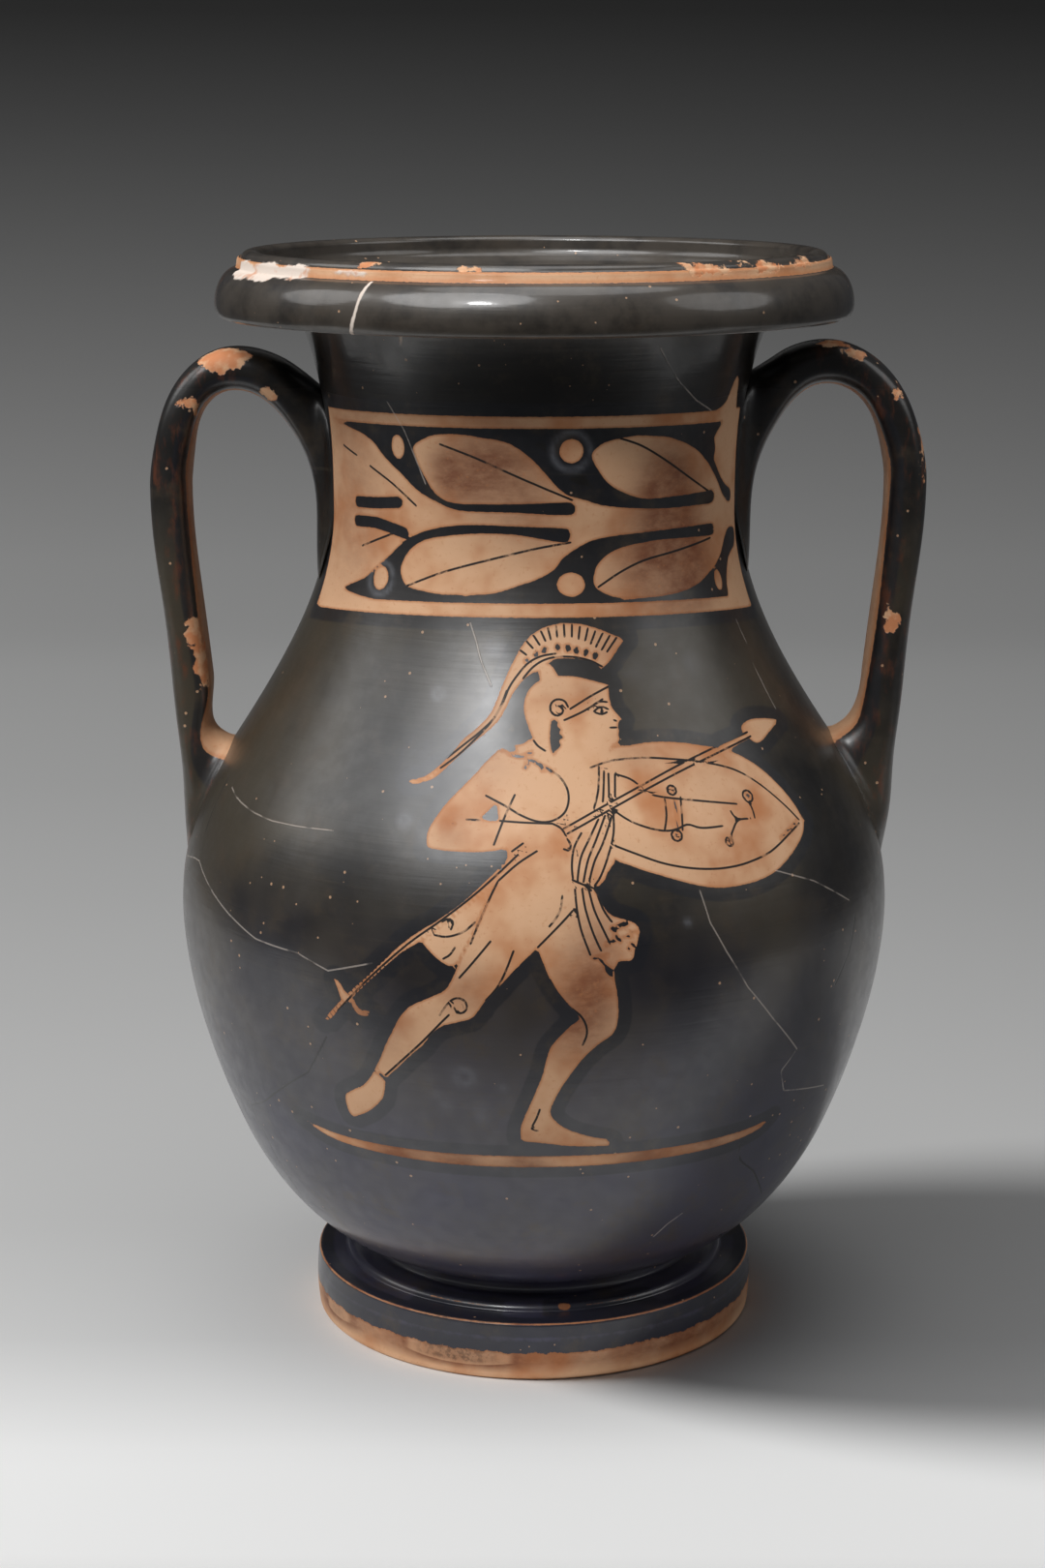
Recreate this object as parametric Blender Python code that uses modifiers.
"""Pelike: a wheel-thrown storage jar of black-gloss ware with two strap handles, fired in one piece.

Metres, +Z up. The origin is on the jar's axis, in the plane that its foot stands on, and the
handles are at -X and +X. The jar is one turned shell: its profile runs from the middle of the
inside floor, up the inside, over the rim, down the outside and under the foot. Each handle is a
strap lofted between an outer and an inner edge line, with its roots buried half-way into the wall.
"""

import math

import bmesh
import bpy
import numpy as np

# Foot: a disc, hollowed below so that it stands on a ring
FOOT_RADIUS = 0.0751
FOOT_HEIGHT = 0.0199
FOOT_EDGE_ROUNDING = 0.0012
FOOT_BULGE = 0.0006
FOOT_RING_WIDTH = 0.0120
FOOT_RECESS_DEPTH = 0.0150
FOOT_RECESS_SLOPE = 0.0100
FOOT_RECESS_KNEE = 0.8
FOOT_RECESS_FLAT = 0.5

# Collar and groove where the body sits on the foot
COLLAR_RADIUS = 0.0655
COLLAR_HEIGHT = 0.0024
COLLAR_WIDTH = 0.0090
GROOVE_HEIGHT = 0.0047
BODY_BASE_RADIUS = 0.0558

# Body and neck: heights are each measured from the level below
BELLY_RADIUS = 0.1189
BELLY_RISE = 0.1195
NECK_RADIUS = 0.0678
NECK_RISE = 0.1336
MOUTH_RADIUS = 0.0770
MOUTH_RISE = 0.0609
WALL = 0.0060
FLOOR_THICKNESS = 0.0110
FLOOR_FLAT = 0.75
FLOOR_DISH = WALL / 4

# Slopes of the outside above the horizontal, in degrees, going up
BASE_SLOPE = 11.5
LOWER_SLOPE = 66.6
SHOULDER_SLOPE = 123.4
MOUTH_SLOPE = 64.4

# Where the lower belly and the shoulder pass, as shares (radius, height) of their spans
LOWER_SHARE = (0.715, 0.377)
SHOULDER_SHARE = (0.294, 0.368)
CURVE_TENSION = 0.328
HANDLE_TENSION = 0.36

# Rim: a thick rounded lip, a step, and a bead that runs round the mouth
LIP_RADIUS = 0.1037
LIP_HEIGHT = 0.0156
LIP_SHOULDER = 0.0078
LIP_UNDERCUT = 0.0020
LIP_CROWN_ANGLE = 80.0
STEP_HEIGHT = 0.0034
STEP_DRAFT = 0.0006
BEAD_RISE = 0.0019
BEAD_WIDTH = 0.0070
BEAD_INNER_HEIGHT = 0.0042
FUNNEL_SLOPE = 22.0

# Handles: flat straps, round at the edges, shaped by hand and so not quite alike
HANDLE_WIDTH = 0.0240
HANDLE_ROOT_WIDTH = 0.0280
HANDLE_THICKNESS = 0.0133
HANDLE_ELBOW_DROP = 0.0450
HANDLE_LEAN = 0.0055
HANDLE_GRIP = 0.0650
HANDLE_ROUNDNESS = 2.9
ROOT_SPREAD_POWER = 8
CROWN_THICKENING = 1.05
LOW_LEAN = 1.5 * HANDLE_LEAN
CROWN_ROOT_OUT = 0.0068
LOOP_FLOOR_OUT = 0.0055
LOOP_FLOOR_LIFT = 0.0015
LOOP_FLOOR_SINK = 0.0030
ROOT_DEPTH = WALL / 2
NECK_END_DEPTH = WALL / 4
THROUGH_WALL = 2 * WALL
OUTER_SLOPES = (42.0, 34.0, 0.0, -90.0, -95.0, -93.0, -95.0)
INNER_SLOPES = (85.0, 67.0, 0.0, -90.0, -97.0, -145.0, 180.0)
NECK_ROOT_HEIGHT = 0.0780
NECK_ROOT_FLARE = 0.0076
WEB_DROP = 0.0340
LOWER_ROOT_HEIGHT = 0.0560
LEFT_PROUD = 0.0076
RIGHT_PROUD = 0.0101
LEFT_CROWN_GAP = 0.0106
RIGHT_CROWN_GAP = 0.0083
LEFT_CROWN_OUT = 0.0250
RIGHT_CROWN_OUT = 0.0222
LEFT_SHOULDER_DROP = 0.0056
RIGHT_SHOULDER_DROP = 0.0044
LEFT_ROOT_DROP = 0.0255
RIGHT_ROOT_DROP = 0.0200
LEFT_LOOP_FLOOR_RISE = 0.0540
RIGHT_LOOP_FLOOR_RISE = 0.0570

TURN_STEPS = 48
OUTSIDE_STEPS = (4, 7, 6, 8, 6)
INSIDE_STEPS = (2, 4, 4, 5, 3)
HANDLE_STEPS = (3, 4, 7, 4, 4, 4)
HANDLE_SIDES = 14
READING_STEPS = 16
MERGE_DISTANCE = 0.00001

GLOSS_COLOUR = (0.022, 0.019, 0.015, 1.0)
GLOSS_ROUGHNESS = 0.28

COLLAR_TOP = FOOT_HEIGHT + COLLAR_HEIGHT
BASE_LEVEL = COLLAR_TOP + GROOVE_HEIGHT
BELLY_LEVEL = BASE_LEVEL + BELLY_RISE
NECK_LEVEL = BELLY_LEVEL + NECK_RISE
LIP_LEVEL = NECK_LEVEL + MOUTH_RISE
STEP_LEVEL = LIP_LEVEL + LIP_HEIGHT
BEAD_TOP = STEP_LEVEL + STEP_HEIGHT + BEAD_RISE


def heading(degrees):
    """Unit vector (outwards, up) at an angle above the horizontal."""
    angle = math.radians(degrees)
    return np.array((math.cos(angle), math.sin(angle)))


def curve_through(stations, steps, tension=CURVE_TENSION):
    """Points and unit tangents of the smooth curve through (radius, height, slope) stations.

    Each span is a cubic Bezier curve whose control arms are its chord times the tension.
    """
    points = []
    tangents = []
    for (start, end, count) in zip(stations[:-1], stations[1:], steps):
        first, last = np.array(start[:2]), np.array(end[:2])
        arm = tension * np.linalg.norm(last - first)
        second, third = first + arm * heading(start[2]), last - arm * heading(end[2])
        t = np.linspace(0.0, 1.0, count + 1)[:, None]
        if points:
            t = t[1:]
        points.append((1 - t) ** 3 * first + 3 * (1 - t) ** 2 * t * second
                      + 3 * (1 - t) * t ** 2 * third + t ** 3 * last)
        slope = ((1 - t) ** 2 * (second - first) + 2 * (1 - t) * t * (third - second)
                 + t ** 2 * (last - third))
        tangents.append(slope / np.linalg.norm(slope, axis=1)[:, None])
    return np.concatenate(points), np.concatenate(tangents)


def arc(centre, radii, start, end, steps):
    """Points of an elliptic arc about a centre, from one angle to another, both in degrees."""
    angles = np.radians(np.linspace(start, end, steps + 1))
    return np.stack((centre[0] + radii[0] * np.cos(angles),
                     centre[1] + radii[1] * np.sin(angles)), axis=1)


def body_stations():
    """Stations of the outside from the groove over the foot up to the lip."""
    lower_radius, lower_rise = LOWER_SHARE
    shoulder_radius, shoulder_rise = SHOULDER_SHARE
    return (
        (BODY_BASE_RADIUS, BASE_LEVEL, BASE_SLOPE),
        (BODY_BASE_RADIUS + lower_radius * (BELLY_RADIUS - BODY_BASE_RADIUS),
         BASE_LEVEL + lower_rise * BELLY_RISE, LOWER_SLOPE),
        (BELLY_RADIUS, BELLY_LEVEL, 90.0),
        (BELLY_RADIUS - shoulder_radius * (BELLY_RADIUS - NECK_RADIUS),
         BELLY_LEVEL + shoulder_rise * NECK_RISE, SHOULDER_SLOPE),
        (NECK_RADIUS, NECK_LEVEL, 90.0),
        (MOUTH_RADIUS, LIP_LEVEL, MOUTH_SLOPE),
    )


def wall_curve(depth, steps):
    """The body's curve moved into the wall by a depth, along the curve's own normals."""
    points, tangents = curve_through(body_stations(), steps)
    inward = np.stack((-tangents[:, 1], tangents[:, 0]), axis=1)
    return points + depth * inward


def outside_radius(level):
    """Radius of the body's outside at a level."""
    points = wall_curve(0.0, [READING_STEPS] * len(OUTSIDE_STEPS))
    return float(np.interp(level, points[:, 1], points[:, 0]))


def rim_profile():
    """From the bead's inner edge, over the bead and the step, round the lip to its underside."""
    step_radius = LIP_RADIUS - LIP_SHOULDER
    bead_radius = step_radius - BEAD_WIDTH / 2
    bead_foot = STEP_LEVEL + STEP_HEIGHT
    bead = arc((bead_radius, bead_foot), (BEAD_WIDTH / 2, BEAD_RISE), 180, 0, 6)
    lip_middle = LIP_LEVEL + 2 * LIP_UNDERCUT
    crown = arc((step_radius, lip_middle), (LIP_SHOULDER, STEP_LEVEL - lip_middle),
                LIP_CROWN_ANGLE, 0, 5)
    under = arc((LIP_RADIUS - LIP_UNDERCUT, lip_middle), (LIP_UNDERCUT, lip_middle - LIP_LEVEL), 0, -90, 3)
    return np.concatenate((bead, [(step_radius + STEP_DRAFT, STEP_LEVEL)], crown, under[1:]))


def foot_profile():
    """From the collar's top, over the foot's disc and down its side, to the middle underneath."""
    ring_inside = FOOT_RADIUS - FOOT_RING_WIDTH
    corner = FOOT_EDGE_ROUNDING
    collar = arc((COLLAR_RADIUS - COLLAR_HEIGHT, FOOT_HEIGHT), (COLLAR_HEIGHT, COLLAR_HEIGHT), 90, 0, 3)
    top_edge = arc((FOOT_RADIUS - corner, FOOT_HEIGHT - corner), (corner, corner), 90, 0, 2)
    low_edge = arc((FOOT_RADIUS - corner, corner), (corner, corner), 0, -90, 2)
    middle = [(FOOT_RADIUS + FOOT_BULGE, FOOT_HEIGHT / 2)]
    below = [(ring_inside, 0.0), (ring_inside - FOOT_RECESS_SLOPE, FOOT_RECESS_DEPTH * FOOT_RECESS_KNEE),
             (ring_inside * FOOT_RECESS_FLAT, FOOT_RECESS_DEPTH), (0.0, FOOT_RECESS_DEPTH)]
    neck = [(COLLAR_RADIUS - COLLAR_WIDTH, COLLAR_TOP)]
    return np.concatenate((neck, collar, top_edge, middle, low_edge, below))


def jar_profile():
    """The whole profile, from the middle of the inside floor round to the middle underneath."""
    floor_level = FOOT_RECESS_DEPTH + FLOOR_THICKNESS
    inside = wall_curve(WALL, INSIDE_STEPS)
    inside = inside[inside[:, 1] > floor_level + WALL / 2]
    floor = [(0.0, floor_level), (inside[0, 0] * FLOOR_FLAT, floor_level + FLOOR_DISH)]
    rim = rim_profile()
    funnel_foot = (rim[0, 0], rim[0, 1] - BEAD_INNER_HEIGHT)
    funnel, _ = curve_through(((*inside[-1], MOUTH_SLOPE), (*funnel_foot, FUNNEL_SLOPE)), (3,))
    outside = wall_curve(0.0, OUTSIDE_STEPS)[::-1]
    return np.concatenate((floor, inside, funnel[1:], rim, outside, foot_profile()))


def collection_named(name):
    """A new collection in the scene."""
    collection = bpy.data.collections.new(name)
    bpy.context.scene.collection.children.link(collection)
    return collection


def turned(name, profile, collection):
    """A solid of revolution about Z, from a profile of (radius, height) points."""
    mesh = bpy.data.meshes.new(name)
    vertices = [(radius, 0.0, height) for radius, height in profile]
    mesh.from_pydata(vertices, [(i, i + 1) for i in range(len(vertices) - 1)], [])
    piece = bpy.data.objects.new(name, mesh)
    collection.objects.link(piece)
    screw = piece.modifiers.new("turn", "SCREW")
    screw.axis = "Z"
    screw.steps = TURN_STEPS
    screw.render_steps = TURN_STEPS
    screw.use_merge_vertices = True
    screw.merge_threshold = MERGE_DISTANCE
    screw.use_smooth_shade = True
    return piece


def handle_edges(proud, crown_gap, crown_out, shoulder_drop, root_drop, loop_floor_rise):
    """Outer and inner edge lines (out from the axis, up) of a handle, from the neck to the belly.

    They are matched station by station: neck root, web, crown, elbow, grip, loop floor, belly root.
    """
    crown = LIP_LEVEL - crown_gap
    crown_radius = outside_radius(crown) + crown_out
    reach = BELLY_RADIUS + proud
    elbow = crown - HANDLE_ELBOW_DROP
    grip = elbow - HANDLE_GRIP
    loop_floor = BELLY_LEVEL + loop_floor_rise
    root = loop_floor - LOWER_ROOT_HEIGHT
    upper, web, lower = crown - root_drop, crown - WEB_DROP, crown - NECK_ROOT_HEIGHT
    outer = (
        (outside_radius(upper) - THROUGH_WALL, upper),
        (outside_radius(crown) + CROWN_ROOT_OUT, crown - shoulder_drop),
        (crown_radius, crown),
        (reach, elbow),
        (reach - HANDLE_LEAN, grip),
        (reach - LOW_LEAN, (grip + root) / 2),
        (outside_radius(root) - ROOT_DEPTH, root),
    )
    inner = (
        (outside_radius(lower) - NECK_END_DEPTH, lower),
        (outside_radius(web) + NECK_ROOT_FLARE, web),
        (crown_radius, crown - CROWN_THICKENING * HANDLE_THICKNESS),
        (reach - HANDLE_THICKNESS, elbow),
        (reach - HANDLE_LEAN - HANDLE_THICKNESS, grip),
        (outside_radius(loop_floor) + LOOP_FLOOR_OUT, loop_floor + LOOP_FLOOR_LIFT),
        (outside_radius(loop_floor) - THROUGH_WALL, loop_floor - LOOP_FLOOR_SINK),
    )
    return tuple(curve_through([(*place, slope) for place, slope in zip(line, slopes)],
                               HANDLE_STEPS, tension=HANDLE_TENSION)[0]
                 for line, slopes in ((outer, OUTER_SLOPES), (inner, INNER_SLOPES)))


def handle(name, side, edges, collection):
    """One strap: superelliptic sections strung between the two edge lines, at side -1 or +1."""
    outer, inner = edges
    angles = np.linspace(0.0, 2 * math.pi, HANDLE_SIDES, endpoint=False)
    cosine, sine = np.cos(angles), np.sin(angles)
    power = 2.0 / HANDLE_ROUNDNESS
    across = np.sign(cosine) * np.abs(cosine) ** power
    along_y = np.sign(sine) * np.abs(sine) ** power
    share = np.linspace(-1.0, 1.0, len(outer))
    width = HANDLE_WIDTH + (HANDLE_ROOT_WIDTH - HANDLE_WIDTH) * share ** ROOT_SPREAD_POWER
    middle, half = (outer + inner) / 2, (outer - inner) / 2

    shell = bmesh.new()
    rings = []
    for centre, reach, breadth in zip(middle, half, width):
        ring = [shell.verts.new((side * (centre[0] + a * reach[0]), b * breadth / 2,
                                 centre[1] + a * reach[1])) for a, b in zip(across, along_y)]
        rings.append(ring)
    for low, high in zip(rings[:-1], rings[1:]):
        for i in range(HANDLE_SIDES):
            j = (i + 1) % HANDLE_SIDES
            shell.faces.new((low[i], low[j], high[j], high[i]))
    shell.faces.new(rings[0][::-1])
    shell.faces.new(rings[-1])
    bmesh.ops.recalc_face_normals(shell, faces=shell.faces)
    mesh = bpy.data.meshes.new(name)
    shell.to_mesh(mesh)
    shell.free()
    mesh.shade_smooth()
    strap = bpy.data.objects.new(name, mesh)
    collection.objects.link(strap)
    return strap


def join(piece, other, operation):
    """A Boolean modifier with the exact solver; the other object is only a tool."""
    boolean = piece.modifiers.new(operation.lower() + "_" + other.name, "BOOLEAN")
    boolean.operation = operation
    boolean.solver = "EXACT"
    boolean.object = other
    other.hide_render = True
    other.display_type = "WIRE"


def gloss_ware():
    """Fired clay under black gloss."""
    material = bpy.data.materials.new("black_gloss_ware")
    material.use_nodes = True
    shader = material.node_tree.nodes["Principled BSDF"]
    shader.inputs["Base Color"].default_value = GLOSS_COLOUR
    shader.inputs["Roughness"].default_value = GLOSS_ROUGHNESS
    shader.inputs["Metallic"].default_value = 0.0
    return material


def main():
    for old in list(bpy.data.objects):
        bpy.data.objects.remove(old, do_unlink=True)
    parts = collection_named("pelike_parts")
    tools = collection_named("pelike_tools")

    jar = turned("pelike", jar_profile(), parts)
    jar.data.materials.append(gloss_ware())

    mid_wall = wall_curve(WALL / 2, INSIDE_STEPS)[::-1]
    core_profile = np.concatenate(([(0.0, LIP_LEVEL)], mid_wall, [(0.0, mid_wall[-1, 1])]))
    core = turned("handle_root_trimmer", core_profile, tools)

    left = handle_edges(LEFT_PROUD, LEFT_CROWN_GAP, LEFT_CROWN_OUT, LEFT_SHOULDER_DROP,
                        LEFT_ROOT_DROP, LEFT_LOOP_FLOOR_RISE)
    right = handle_edges(RIGHT_PROUD, RIGHT_CROWN_GAP, RIGHT_CROWN_OUT, RIGHT_SHOULDER_DROP,
                         RIGHT_ROOT_DROP, RIGHT_LOOP_FLOOR_RISE)
    for name, side, edges in (("left_strap", -1, left), ("right_strap", 1, right)):
        strap = handle(name, side, edges, tools)
        join(strap, core, "DIFFERENCE")
        join(jar, strap, "UNION")


main()
